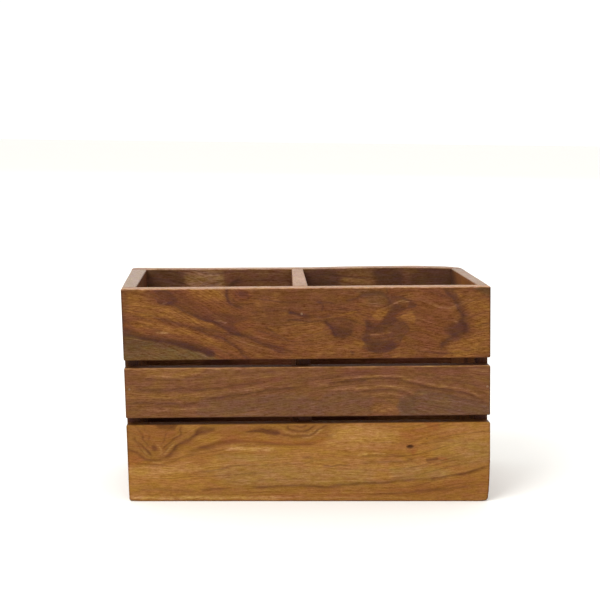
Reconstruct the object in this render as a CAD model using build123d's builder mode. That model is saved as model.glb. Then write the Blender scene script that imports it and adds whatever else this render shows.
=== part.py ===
from build123d import *
import os

# A slatted wooden utensil caddy: an open box with two compartments, made of ten boards that are
# butt-jointed, glued and held by wire brads.
#
# Millimetres, +Z up. The origin is on the table under the middle of the box. X runs along the
# length, -Y is the front, and the box stands on the lower edges of its four walls.

# Overall size
LENGTH = 203.0
DEPTH = 89.0

# Boards of the front and back walls, and the open gaps between them, from the table up
BOTTOM_BOARD_H = 45.0
LOWER_GAP = 4.0
MIDDLE_BOARD_H = 27.5
UPPER_GAP = 4.5
TOP_BOARD_H = 40.0

# Thickness of the stock
WALL_T = 8.0
END_T = 7.5
DIVIDER_T = 8.0
FLOOR_T = 6.0

# Places inside the box
DIVIDER_X = -2.0  # the divider stands a little left of the middle
FLOOR_LIFT = 4.0  # from the table to the underside of the floor

# Radii of the hand-sanded edges
OUTER_EASE = 0.8
INNER_EASE = 0.4

# Brads: headed wire with a point, driven just below the surface
BRAD_LENGTH = 20.0
BRAD_R = 0.5
BRAD_HEAD_R = 0.75
BRAD_HEAD_H = 0.6
BRAD_POINT_H = 1.5
BRAD_SET = 0.1
BORE_ROOM = 0.02  # between the wire and its hole, all round

# Brads through the walls: along the length, and their heights in each board
LEFT_BRAD_X = 2.6 - LENGTH / 2
DIVIDER_BRAD_X = DIVIDER_X - 1.1
RIGHT_BRAD_X = LENGTH / 2 - 1.8
BOTTOM_BRAD_Z = 26.0
MIDDLE_BRAD_Z = 65.0
TOP_BRAD_Z = 100.7
TOP_DIVIDER_BRAD_Z = 106.6

# Brads through the end panels into the floor
FLOOR_BRAD_Y = 20.0

# Worked out from the above
INNER_LENGTH = LENGTH - 2 * END_T
INNER_DEPTH = DEPTH - 2 * WALL_T
MIDDLE_BOARD_Z = BOTTOM_BOARD_H + LOWER_GAP
TOP_BOARD_Z = MIDDLE_BOARD_Z + MIDDLE_BOARD_H + UPPER_GAP
HEIGHT = TOP_BOARD_Z + TOP_BOARD_H
FLOOR_TOP = FLOOR_LIFT + FLOOR_T

FRONT = Plane.XZ.offset(DEPTH / 2)
RIGHT = Plane.YZ.offset(LENGTH / 2)


def brad_shape(head_r, wire_r, length, head_top):
    """A round solid along -Z from the surface of the wood at Z = 0: a brad, or the hole for one."""
    head_seat = -BRAD_SET - BRAD_HEAD_H
    with BuildPart() as shape:
        with BuildSketch(Plane.XZ):
            with BuildLine():
                Polyline(
                    (0, head_top),
                    (head_r, head_top),
                    (head_r, head_seat),
                    (wire_r, head_seat),
                    (wire_r, BRAD_POINT_H - length),
                    (0, -length),
                    close=True,
                )
            make_face()
        revolve(axis=Axis.Z)
    return shape


brad = brad_shape(BRAD_HEAD_R, BRAD_R, BRAD_LENGTH, -BRAD_SET)
brad_hole = brad_shape(
    BRAD_HEAD_R + BORE_ROOM, BRAD_R + BORE_ROOM, BRAD_LENGTH + BORE_ROOM, BRAD_SET
)


def driven(shape, face, places):
    """The shape at each place on a face of the box, pointing into the wood."""
    with BuildPart() as group:
        with Locations(face):
            with Locations(*places):
                add(shape.part)
    return group


def mirrored(piece, plane):
    """The same piece on the opposite side of the box."""
    with BuildPart() as twin:
        mirror(piece.part, about=plane)
    return twin


def bored(piece, holes):
    """The piece with brad holes taken out of it."""
    with BuildPart() as result:
        add(piece.part)
        for hole in holes:
            add(hole.part, mode=Mode.SUBTRACT)
    return result


def front_board(low_z, height):
    """A board of the front wall, as long as the box, with eased edges."""
    with BuildPart() as board:
        with BuildSketch(FRONT):
            with Locations((0, low_z + height / 2)):
                Rectangle(LENGTH, height)
        extrude(amount=-WALL_T)
        fillet(board.faces().sort_by(Axis.Y)[0].edges(), OUTER_EASE)
        fillet(board.faces().sort_by(Axis.Y)[-1].edges().filter_by(Axis.X), INNER_EASE)
    return board


def right_end_board():
    """The right end panel, standing between the front and back walls."""
    with BuildPart() as panel:
        with BuildSketch(RIGHT):
            with Locations((0, HEIGHT / 2)):
                Rectangle(INNER_DEPTH, HEIGHT)
        extrude(amount=-END_T)
        fillet(panel.faces().sort_by(Axis.X)[-1].edges().filter_by(Axis.Y), OUTER_EASE)
        fillet(panel.faces().sort_by(Axis.X)[0].edges().filter_by(Axis.Y), INNER_EASE)
    return panel


def divider_board():
    """The divider, standing on the floor between the front and back walls."""
    with BuildPart() as divider:
        with BuildSketch(Plane.YZ.offset(DIVIDER_X - DIVIDER_T / 2)):
            with Locations((0, (FLOOR_TOP + HEIGHT) / 2)):
                Rectangle(INNER_DEPTH, HEIGHT - FLOOR_TOP)
        extrude(amount=DIVIDER_T)
        rim = divider.faces().sort_by(Axis.Z)[-1]
        fillet(rim.edges().filter_by(Axis.Y), INNER_EASE)
    return divider


def floor_panel():
    """The floor, held between the four walls just above the table."""
    with BuildPart() as panel:
        with BuildSketch(Plane.XY.offset(FLOOR_LIFT)):
            Rectangle(INNER_LENGTH, INNER_DEPTH)
        extrude(amount=FLOOR_T)
    return panel


def save(piece, name):
    """Label a finished piece and write it to its own file."""
    piece.part.label = name
    export_step(piece.part, f"parts/{name}.step")


# Each wall board takes one brad at each end and one at the divider
BRAD_PLACES = {
    "bottom": [(x, BOTTOM_BRAD_Z) for x in (LEFT_BRAD_X, DIVIDER_BRAD_X, RIGHT_BRAD_X)],
    "middle": [(x, MIDDLE_BRAD_Z) for x in (LEFT_BRAD_X, DIVIDER_BRAD_X, RIGHT_BRAD_X)],
    "top": [
        (LEFT_BRAD_X, TOP_BRAD_Z),
        (DIVIDER_BRAD_X, TOP_DIVIDER_BRAD_Z),
        (RIGHT_BRAD_X, TOP_BRAD_Z),
    ],
}
BOARD_SPANS = {
    "bottom": (0, BOTTOM_BOARD_H),
    "middle": (MIDDLE_BOARD_Z, MIDDLE_BOARD_H),
    "top": (TOP_BOARD_Z, TOP_BOARD_H),
}

os.makedirs("parts", exist_ok=True)

# Front and back walls with their brads
wall_holes = []
for level, (low_z, height) in BOARD_SPANS.items():
    holes = driven(brad_hole, FRONT, BRAD_PLACES[level])
    brads = driven(brad, FRONT, BRAD_PLACES[level])
    board = bored(front_board(low_z, height), [holes])
    wall_holes += [holes, mirrored(holes, Plane.XZ)]
    save(board, f"front_{level}_board")
    save(mirrored(board, Plane.XZ), f"back_{level}_board")
    save(brads, f"front_{level}_brads")
    save(mirrored(brads, Plane.XZ), f"back_{level}_brads")

# End panels, with brads into the ends of the floor
floor_places = [(y, FLOOR_LIFT + FLOOR_T / 2) for y in (-FLOOR_BRAD_Y, FLOOR_BRAD_Y)]
right_holes = driven(brad_hole, RIGHT, floor_places)
right_brads = driven(brad, RIGHT, floor_places)
left_holes = mirrored(right_holes, Plane.YZ)
right_end = right_end_board()
save(bored(right_end, [right_holes] + wall_holes), "right_end_panel")
save(bored(mirrored(right_end, Plane.YZ), [left_holes] + wall_holes), "left_end_panel")
save(right_brads, "right_end_brads")
save(mirrored(right_brads, Plane.YZ), "left_end_brads")

# Divider and floor
save(bored(divider_board(), wall_holes), "centre_divider")
save(bored(floor_panel(), [left_holes, right_holes]), "floor_board")
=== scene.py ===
import itertools
import math
from collections import namedtuple

import bmesh
import bpy
import numpy as np
from mathutils import Matrix, Vector


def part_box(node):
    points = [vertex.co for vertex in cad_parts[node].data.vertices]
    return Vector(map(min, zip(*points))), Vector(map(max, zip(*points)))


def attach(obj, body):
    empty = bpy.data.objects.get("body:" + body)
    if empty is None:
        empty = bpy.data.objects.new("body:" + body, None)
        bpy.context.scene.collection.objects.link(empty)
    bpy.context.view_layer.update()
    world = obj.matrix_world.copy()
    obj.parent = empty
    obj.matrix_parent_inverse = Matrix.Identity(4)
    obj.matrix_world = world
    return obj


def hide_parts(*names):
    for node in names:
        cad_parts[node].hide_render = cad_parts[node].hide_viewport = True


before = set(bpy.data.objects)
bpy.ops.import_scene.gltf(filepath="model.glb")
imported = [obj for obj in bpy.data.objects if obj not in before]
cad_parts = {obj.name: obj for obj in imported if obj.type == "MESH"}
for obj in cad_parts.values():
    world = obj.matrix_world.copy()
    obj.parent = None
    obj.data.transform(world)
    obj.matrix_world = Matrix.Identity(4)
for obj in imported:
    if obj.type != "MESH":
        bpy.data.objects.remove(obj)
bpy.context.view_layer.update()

# Figure and mesh sizes are in millimetres, Blender's own in metres
MM = 0.001

# ---------------------------------------------------------------- smooth noise on arrays


def smooth(value):
    """An S-shaped step from 0 to 1 as value goes from 0 to 1."""
    value = np.clip(value, 0.0, 1.0)
    return value * value * (3.0 - 2.0 * value)


# Large whole numbers that scatter the cells' numbers, and the bits that are kept of them
CELL_FACTORS = (73856093, 19349663, 83492791)
SEED_FACTOR = 2654435
FIRST_SCATTER = 1274126177
SECOND_SCATTER = 668265263
LOW_BITS = 0xFFFFFFFF
VALUE_BITS = 0xFFFFFF
VALUES = 65536


def cell_value(cell, seed):
    """A repeatable number from -1 to 1 for each whole-number cell."""
    mixed = seed * SEED_FACTOR
    for axis, factor in enumerate(CELL_FACTORS):
        mixed = mixed ^ cell[:, axis] * factor
    mixed = (mixed ^ mixed >> 13) * FIRST_SCATTER & LOW_BITS
    mixed = (mixed ^ mixed >> 16) * SECOND_SCATTER & LOW_BITS
    return (mixed ^ mixed >> 15 & VALUE_BITS) % VALUES / (0.5 * VALUES - 0.5) - 1.0


def noise(points, cell_size, seed):
    """Smooth noise from -1 to 1 at points in mm, with one cell size for each axis."""
    scaled = points / np.array(cell_size)
    low = np.floor(scaled).astype(np.int64)
    part = smooth(scaled - low)
    total = np.zeros(len(points))
    for corner in itertools.product((0, 1), repeat=3):
        weight = np.prod(np.where(np.array(corner) == 1, part, 1.0 - part), axis=1)
        total += weight * cell_value(low + np.array(corner), seed)
    return total


# How much something wanders, and the size of the noise cells that it follows, in mm by axis
Wander = namedtuple("Wander", "amount cells")


def wandering(points, wander, seed):
    return wander.amount * noise(points, wander.cells, seed)


# ---------------------------------------------------------------- wood figure
# A board's figure is given in its own plane: along the grain, and across it on the face.
# Tones are painted over the base colour of the wood.

DARK, GOLD, RED, OLIVE, PALE = range(5)

Area = namedtuple("Area", "tone outline soft strength")
Streak = namedtuple("Streak", "tone path above below strength")
Swirl = namedtuple("Swirl", "at size lift power")
Lean = namedtuple("Lean", "start end rise")
Figure = namedtuple("Figure", "areas streaks swirls leans seed")

CURVE_STEPS = 6  # divisions between two points of a curve
STREAK_TAPER = 0.14  # share of a streak's length over which each end fades
STREAK_REACH = 3.0  # widths from a streak's line at which it has faded out

# How far the growth layers, the swirls and the tones shift across the face for each mm of depth
LAYER_SLANT = 0.55
SWIRL_SLANT = 0.3
TONE_SLANT = 0.3

BROAD_LAYERS = Wander(1.5, (38.0, 11.0, 14.0))
FINE_LAYERS = Wander(0.35, (13.0, 4.0, 6.0))
ALONG_TONES = Wander(1.5, (6.0, 3.0, 5.0))
ACROSS_TONES = Wander(0.45, (7.0, 2.6, 5.0))
ACROSS_TONES_FINE = Wander(0.3, (2.4, 1.2, 2.0))
TONE_BREAKS = Wander(0.25, (5.0, 1.4, 3.0))


def through_points(path, closed=False):
    """A smooth line through the points of a path."""
    path = np.array(path, float)
    if closed:
        path = np.vstack([path, path[:1]])
        before = np.vstack([path[-2], path[:-1]])
        after = np.vstack([path[1:], path[1]])
    else:
        before = np.vstack([2 * path[0] - path[1], path[:-1]])
        after = np.vstack([path[1:], 2 * path[-1] - path[-2]])
    slope = (after - before) / 2
    line = []
    for i in range(len(path) - 1):
        for t in np.arange(CURVE_STEPS) / CURVE_STEPS:
            t2, t3 = t * t, t * t * t
            line.append(
                (2 * t3 - 3 * t2 + 1) * path[i]
                + (t3 - 2 * t2 + t) * slope[i]
                + (3 * t2 - 2 * t3) * path[i + 1]
                + (t3 - t2) * slope[i + 1]
            )
    line.append(path[-1])
    return np.array(line)


def near_line(line, flat):
    """Distance of each point from a line, its place along the line, and its side of it."""
    start, run = line[:-1], np.diff(line, axis=0)
    offset = flat[:, None, :] - start
    share = np.clip((offset * run).sum(2) / (run * run).sum(1), 0.0, 1.0)
    gap = offset - share[..., None] * run
    distance = np.hypot(gap[..., 0], gap[..., 1])
    best = distance.argmin(1)
    row = np.arange(len(best))
    side = run[best, 0] * gap[row, best, 1] - run[best, 1] * gap[row, best, 0]
    return distance[row, best], (best + share[row, best]) / len(run), side > 0


def within(line, flat):
    """Whether each point lies inside a closed line."""
    x, y = flat.T
    inside = np.zeros(len(flat), bool)
    for (x1, y1), (x2, y2) in zip(line[:-1], line[1:]):
        level = (y1 > y) != (y2 > y)
        if level.any():
            inside ^= level & (x < x1 + (y - y1) / (y2 - y1) * (x2 - x1))
    return inside


def feature_mask(feature, flat):
    """How strongly an area or a streak marks each point of the board's plane."""
    is_area = isinstance(feature, Area)
    line = through_points(feature.outline if is_area else feature.path, is_area)
    reach = feature.soft if is_area else STREAK_REACH * max(feature.above, feature.below)
    near = np.all((flat > line.min(0) - reach) & (flat < line.max(0) + reach), axis=1)
    mask = np.zeros(len(flat))
    if not near.any():
        return mask
    distance, place, above = near_line(line, flat[near])
    if is_area:
        depth = np.where(within(line, flat[near]), distance, -distance)
        mask[near] = smooth(0.5 + depth / (2.0 * feature.soft)) * feature.strength
    else:
        width = np.where(above, feature.above, feature.below)
        ends = smooth(place / STREAK_TAPER) * smooth((1.0 - place) / STREAK_TAPER)
        mask[near] = np.exp(-((distance / width) ** 2)) * ends * feature.strength
    return mask


def growth_layers(figure, board):
    """Distance across the growth layers: its level lines are the grain lines of the board."""
    along, across, depth = board.T
    layers = across + LAYER_SLANT * depth
    for lean in figure.leans:
        layers = layers + lean.rise * smooth((along - lean.start) / (lean.end - lean.start))
    for swirl in figure.swirls:
        reach = np.hypot(
            (along - swirl.at[0]) / swirl.size[0],
            (across + SWIRL_SLANT * depth - swirl.at[1]) / swirl.size[1],
        )
        layers = layers + swirl.lift * np.exp(-(reach**swirl.power))
    layers = layers + wandering(board, BROAD_LAYERS, figure.seed)
    return layers + wandering(board, FINE_LAYERS, figure.seed + 1)


def painted(figure, board):
    """The five tones, each from 0 to 1, at each point of the board."""
    along = wandering(board, ALONG_TONES, figure.seed + 2)
    across = wandering(board, ACROSS_TONES, figure.seed + 3)
    across += wandering(board, ACROSS_TONES_FINE, figure.seed + 4)
    flat = board[:, :2] + np.stack([along, across], axis=1)
    flat[:, 1] += TONE_SLANT * board[:, 2]
    broken = 1.0 + wandering(board, TONE_BREAKS, figure.seed + 5)
    clear = np.ones((len(board), 5))
    for feature in figure.areas + figure.streaks:
        mask = feature_mask(feature, flat) * broken
        clear[:, feature.tone] *= 1.0 - np.clip(mask, 0.0, 1.0)
    return 1.0 - clear


def oval(middle, size, turn):
    """The outline of an oval lying along the grain, turned a little."""
    outline = []
    for angle in np.radians(np.arange(0, 360, 45)):
        along, across = size[0] * math.cos(angle), size[1] * math.sin(angle)
        outline.append((middle[0] + along - turn * across, middle[1] + across + turn * along))
    return outline


# The front of the box, as the photograph shows it. Places are mm from the middle of the box and
# mm above the table.

FRONT_TOP = Figure(seed=11, leans=[Lean(-105, -10, 34), Lean(20, 60, -4)], areas=[
    # brown wood over the wide band, with its grey-brown head and shoulder
    Area(RED, [(-86, 122), (-82, 114), (-70, 111), (-60, 106), (-50, 102), (-38, 96), (-31, 99),
        (-34, 107), (-46, 113), (-58, 122)], 2.0, 0.5),
    Area(DARK, [(-86, 122), (-82.5, 117), (-81, 113), (-75, 112.5), (-71, 115), (-74, 118.5),
        (-78, 122)], 1.2, 0.55),
    Area(DARK, [(-75, 112.4), (-68, 109), (-58, 104.6), (-52, 107.6), (-60, 112), (-66, 118),
        (-72, 122)], 2.2, 0.26),
    Area(DARK, [(-59, 104.4), (-51, 107.4), (-42, 107), (-34, 105.4), (-33.5, 103.2), (-41, 101),
        (-37, 96), (-44, 97.6), (-50, 101.4)], 1.2, 0.38),
    # the olive corner and the band over it
    Area(OLIVE, [(-104, 97), (-92, 93.6), (-80, 91.4), (-70, 88.8), (-60, 85.6), (-52, 82.4), (-50, 78),
        (-104, 78)], 1.3, 0.75),
    Area(DARK, [(-104, 101), (-98, 98.8), (-90, 96), (-80, 94.4), (-70, 92.2), (-60, 89.8), (-53, 87.4),
        (-50.6, 84.6), (-52, 82.6), (-60, 85.4), (-70, 88.4), (-80, 91), (-90, 93),
        (-104, 96)], 0.9, 0.5),
    Area(DARK, [(-104, 96), (-90, 93), (-80, 91), (-72, 88.6), (-80, 88), (-92, 89.6),
        (-104, 91)], 1.4, 0.24),
    Area(DARK, [(-104, 124), (-99.6, 124), (-99, 112), (-100, 103), (-104, 103)], 1.2, 0.3),
    Area(GOLD, [(-97, 102.6), (-88, 103.4), (-80, 101.6), (-76, 99), (-84, 98.4), (-94, 99)], 1.2, 0.4),
    # the darker middle of the board
    Area(DARK, [(-30, 122), (-26, 112), (-30, 104), (-16, 99), (0, 103), (12, 104), (22, 108),
        (20, 122)], 3.0, 0.14),
    # gold under the rim, and gold and orange between the bands
    Area(GOLD, [(-64, 122), (-54, 122), (-47, 118.4), (-44.6, 114.6), (-52, 114),
        (-60, 117)], 1.4, 0.5),
    Area(GOLD, [(-104, 118), (-92, 117), (-84, 113), (-76, 111.4), (-66, 107), (-58, 103), (-52, 100.4),
        (-62, 100.6), (-74, 104), (-86, 106), (-104, 108)], 1.6, 0.4),
    Area(RED, [(-104, 105), (-84, 104.4), (-70, 101.4), (-56, 98), (-46, 93.6), (-38, 87), (-33, 80),
        (-46, 82), (-54, 88), (-62, 92), (-76, 95.6), (-90, 97.4), (-104, 100)], 1.4, 0.3),
    Area(GOLD, [(-80, 99.6), (-70, 99.6), (-58, 95.4), (-52, 92.4), (-48, 89), (-56, 90.6), (-66, 94.6),
        (-78, 96.6)], 1.2, 0.4),
    Area(GOLD, [(-12, 102.4), (0, 102.6), (8, 101), (9.5, 96), (4, 93.6), (-8, 95),
        (-16, 97.4)], 2.0, 0.22),
    Area(RED, [(-30, 98), (-16, 95), (-4, 92), (4, 88), (0, 83), (-18, 84), (-28, 90)], 2.0, 0.35),
    Area(GOLD, [(-6, 93), (8, 92.6), (16, 90.6), (30, 91.4), (30, 85), (10, 84), (-6, 87)], 2.2, 0.22),
    # the half-moon
    Area(DARK, [(9, 103.6), (10.4, 100), (12, 96.6), (15, 93.6), (19, 92.4), (23, 93.2), (24.6, 97),
        (26, 100.6), (28, 102.6), (23, 104.2), (16, 103.6)], 1.4, 0.34),
    Area(DARK, [(13, 99), (15, 94.8), (19, 93), (22.6, 94), (24, 98), (18, 98.6)], 1.0, 0.42),
    # the dark figure round the gold spots
    Area(DARK, [(32, 103.4), (37, 101.2), (41, 101.6), (44.4, 105), (45.4, 110), (50, 111.4), (54, 109),
        (50.6, 107), (50, 103.4), (53, 100.6), (55.4, 98.4), (54, 95.4), (51, 91.4), (48.4, 87),
        (44, 84.6), (37, 84), (32.4, 86), (31, 91), (32.4, 95), (31.4, 99)], 0.9, 0.4),
    Area(DARK, [(32.6, 102), (37, 99.8), (42, 101.4), (45, 104.6), (48.6, 104.4), (47, 100), (41, 97),
        (35, 96.4), (32, 98.6)], 0.8, 0.34),
    Area(DARK, [(30.6, 97), (34.8, 96.6), (35.6, 90), (31, 89.4)], 0.8, 0.35),
    Area(DARK, [(34, 88.4), (39, 91.2), (46, 91.4), (49.4, 89), (47.6, 86), (42, 84.4),
        (36, 84.4)], 0.9, 0.45),
    Area(DARK, [(54.6, 110), (57, 112.8), (60, 111.2), (58, 109.2)], 0.7, 0.5),
    Area(DARK, [(45, 116), (52, 117), (58, 115), (58, 112), (50, 108), (45, 107)], 1.4, 0.25),
    # the small knot under the rim
    Area(RED, oval((-35.6, 117.4), (5.6, 3.6), 0.0), 1.4, 0.6),
    Area(DARK, [(-38, 118.4), (-36.4, 119.8), (-33, 119.4), (-31.8, 117.6), (-34, 116.6),
        (-36.6, 116.4)], 0.9, 0.45),
    Area(GOLD, [(37.4, 104.6), (38, 108.6), (41, 109.2), (44, 107.4), (43, 104.4),
        (40, 103)], 0.9, 0.5),
    Area(GOLD, [(52.8, 103.6), (55, 106.6), (58, 107), (59, 104), (58, 101), (55, 101.4)], 0.8, 0.55),
    Area(OLIVE, [(24, 121), (30, 117), (34, 112), (42, 112), (44, 116), (38, 119.4)], 1.6, 0.35),
    Area(OLIVE, [(-104, 92), (-96, 91.6), (-92, 88), (-96, 84), (-104, 84)], 1.4, 0.3),
    Area(DARK, [(-104, 94), (-94, 92), (-92, 88), (-98, 86), (-104, 88)], 1.6, 0.2),
    # the crescent, and the wood on both sides of it
    Area(RED, [(58, 120), (76, 119), (82, 108), (80, 96), (74, 88), (66, 82), (60, 92),
        (63, 104)], 3.0, 0.36),
    Area(DARK, [(74, 122), (79, 117), (82, 112.4), (84, 106.4), (84, 101.4), (80, 99.6), (76.4, 98.4),
        (77, 95.4), (80, 93.4), (77.6, 92), (76, 90.4), (74.6, 88.4), (76.4, 87.4), (78.4, 89),
        (81, 90.6), (86, 92.6), (89.4, 97), (89.6, 103), (87.6, 109.4), (84.6, 115.4),
        (82, 122)], 1.4, 0.4),
    Area(DARK, [(79, 100), (84, 101.4), (88, 100), (87, 95.6), (83, 93.8), (79.6, 95.4)], 1.2, 0.36),
    Area(GOLD, [(90, 112), (102, 112), (102, 86), (93, 84), (92, 92), (93, 102)], 1.8, 0.4),
    Area(GOLD, [(80, 84), (80, 88.6), (86, 91.4), (94, 91), (93, 84)], 1.4, 0.4),
    Area(GOLD, [(76, 80), (78, 84.4), (90, 85), (94, 80)], 1.0, 0.5),
    Area(OLIVE, [(93, 122), (97, 117.4), (104, 115), (104, 122)], 1.8, 0.6),
    Area(DARK, [(94, 122), (98, 118), (104, 117), (104, 122)], 1.6, 0.4),
], streaks=[
    # the sharp lower edge of the wide band
    Streak(DARK, [(-91, 119.6), (-85, 117.4), (-81.4, 113.2), (-75, 112.2), (-69, 109.3), (-63, 106.9),
        (-58, 103.9)], 1.1, 0.6, 0.5),
    Streak(DARK, [(-64, 107.2), (-58, 103.9), (-52, 101.7), (-46, 98.3), (-40, 95.3),
        (-34, 93.4)], 1.5, 0.7, 0.62),
    Streak(DARK, [(-42, 96), (-35, 94.2), (-29, 91.8), (-24, 89.4), (-18, 86.2),
        (-10, 83)], 1.8, 0.7, 0.5),
    # reddish lines under it
    Streak(DARK, [(-87, 105.2), (-78, 103.6), (-70, 101), (-62, 99.7), (-54, 98.4), (-46, 96),
        (-38, 94.6)], 0.5, 1.0, 0.42),
    Streak(DARK, [(-67, 99.6), (-60, 97.8), (-53, 95), (-46, 92.4), (-41, 89.4), (-37.6, 86),
        (-34, 82.6), (-30, 80)], 1.2, 0.6, 0.5),
    Streak(DARK, [(-98, 107), (-90, 106), (-82, 107)], 0.4, 0.4, 0.2),
    Streak(DARK, [(-103, 105.4), (-99.4, 103.4), (-97, 100.6), (-94, 98.8)], 0.5, 0.7, 0.25),
    # the sharp edge and the core of the lower band
    Streak(DARK, [(-104, 96.8), (-97, 95), (-90, 93.6), (-80, 91.8), (-71, 89.2), (-63, 86.8),
        (-57, 84.4), (-51, 82)], 1.2, 0.5, 0.6),
    Streak(DARK, [(-76, 91.4), (-66, 89.2), (-58, 86.6), (-50, 83.4)], 1.4, 1.4, 0.62),
    Streak(PALE, [(-85, 96.8), (-80, 96.6), (-75, 96.2)], 0.4, 0.4, 0.37),
    Streak(PALE, [(-80, 112.6), (-78, 113.4), (-76.6, 114)], 0.4, 0.4, 0.2),
    Streak(PALE, [(-52, 103.8), (-48, 102.8), (-45, 101.6)], 0.35, 0.35, 0.27),
    Streak(GOLD, [(-79, 108.6), (-74, 108.8), (-70, 107.6)], 1.2, 1.0, 0.6),
    Streak(GOLD, [(-66, 103.6), (-58, 102.2), (-52, 100.6)], 1.1, 0.8, 0.6),
    # round the small knot under the rim
    Streak(DARK, [(-45.4, 124), (-44.2, 118), (-42.8, 113.6), (-40, 111), (-35, 109.4)], 1.2, 0.9, 0.6),
    Streak(DARK, [(-38.4, 120), (-39, 117), (-37.4, 114.6), (-34, 114.4), (-32, 117),
        (-32.6, 120)], 0.4, 0.5, 0.3),
    Streak(DARK, [(-41, 116), (-38.4, 112.6), (-33, 111.8), (-29, 113.6)], 0.3, 0.6, 0.4),
    # thin lines in the middle
    Streak(DARK, [(-32, 107.4), (-20, 108.6), (-8, 108.8)], 0.4, 0.6, 0.3),
    Streak(DARK, [(-12, 107.6), (-7, 106.8), (-3.4, 106), (3, 105)], 1.0, 1.0, 0.75),
    Streak(DARK, [(-14, 103), (-6, 103.3), (4, 102.7), (10, 103.2)], 0.5, 0.5, 0.6),
    Streak(DARK, [(-30, 98), (-24, 96.4), (-18, 93.6), (-12, 91.4)], 0.4, 0.5, 0.4),
    Streak(DARK, [(-25, 90.6), (-18, 88.6), (-12, 86.4), (-7, 84)], 0.7, 0.7, 0.5),
    Streak(DARK, [(2, 105.8), (8, 104.8), (14, 105.4)], 0.6, 0.6, 0.4),
    Streak(DARK, [(7.6, 113.6), (8, 110), (8.8, 107.4)], 0.6, 0.6, 0.45),
    Streak(DARK, [(5, 112.8), (10, 112.8), (15, 112.2)], 0.7, 0.5, 0.4),
    Streak(DARK, [(-24, 100.6), (-20, 97), (-16, 94.6), (-10, 92)], 0.5, 0.7, 0.4),
    Streak(DARK, [(-14, 92.4), (-6, 91.2), (4, 92.4)], 0.5, 0.5, 0.35),
    Streak(DARK, [(17, 110.2), (24, 108.8), (30, 108.9)], 0.4, 0.5, 0.4),
    Streak(DARK, [(20, 114), (26, 115), (31, 116.4)], 0.5, 0.6, 0.45),
    Streak(GOLD, [(14, 104.8), (20, 106), (28, 107.8)], 0.5, 0.5, 0.5),
    Streak(GOLD, [(15, 101), (20, 101.4), (25, 102.4)], 0.4, 0.4, 0.4),
    Streak(DARK, [(10.4, 104), (11.6, 100.4), (13.4, 96.8), (16.4, 93.2)], 0.8, 1.0, 0.62),
    Streak(DARK, [(23.6, 85.6), (24.4, 84.6), (25.4, 85.4)], 0.8, 0.8, 0.6),
    # the arch, its rays and the edge of the dark figure
    Streak(DARK, [(28, 115.4), (32, 117), (37, 118.2), (42, 117.6), (44.4, 114),
        (44.8, 109)], 1.5, 1.3, 0.45),
    Streak(DARK, [(44.6, 115.4), (50, 116), (54, 115.4), (58, 114), (62, 113)], 0.5, 0.8, 0.4),
    Streak(DARK, [(66, 120), (72, 118.4), (77, 115.6), (81, 111)], 1.2, 1.6, 0.22),
    Streak(DARK, [(46, 109.4), (52, 108.4), (56, 110)], 0.7, 0.9, 0.25),
    Streak(DARK, [(51, 103), (53.6, 100.4), (55.8, 98), (54.6, 95.2), (51.6, 92),
        (49.6, 88)], 0.5, 0.5, 0.45),
    Streak(GOLD, [(33, 94.8), (40, 95.2), (47, 96.4)], 0.5, 0.5, 0.75),
    Streak(PALE, [(33, 94.8), (40, 95.2), (47, 96.4)], 0.3, 0.3, 0.2),
    Streak(GOLD, [(39, 91.6), (45, 92.2), (50, 93.4)], 0.45, 0.4, 0.6),
    Streak(GOLD, [(33, 93), (39, 93.4), (45, 94)], 0.3, 0.3, 0.5),
    Streak(PALE, [(46, 111.8), (52, 113.4), (58, 113.2)], 0.35, 0.35, 0.34),
    Streak(DARK, [(44, 121), (45.4, 116.4)], 0.5, 0.5, 0.5),
    # the outer edge of the crescent
    Streak(DARK, [(75, 121), (79.6, 116.6), (83, 111.6), (85.6, 106), (87, 101), (87, 97),
        (84.6, 94)], 1.1, 1.1, 0.5),
    Streak(DARK, [(85.4, 95), (80, 92.2), (76, 89.4), (73.4, 85)], 0.9, 1.1, 0.4),
    Streak(RED, [(89, 113), (92, 105), (92, 98), (88.6, 93)], 1.0, 1.0, 0.4),
    Streak(PALE, [(76, 101.7), (80, 102), (85, 101.7)], 0.35, 0.3, 0.34),
    Streak(PALE, [(79, 111.4), (84, 111.3)], 0.3, 0.3, 0.24),
    Streak(GOLD, [(81.6, 120), (84, 118), (87, 116)], 1.0, 1.0, 0.5),
], swirls=[
    Swirl((-35.6, 117.6), (8, 6), 4.0, 1.6),
    Swirl((41, 104), (16, 14), 7.0, 2.0),
    Swirl((78, 103), (15, 17), 9.0, 2.0),
    Swirl((18, 100), (12, 9), -5.0, 2.0),
])

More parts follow.
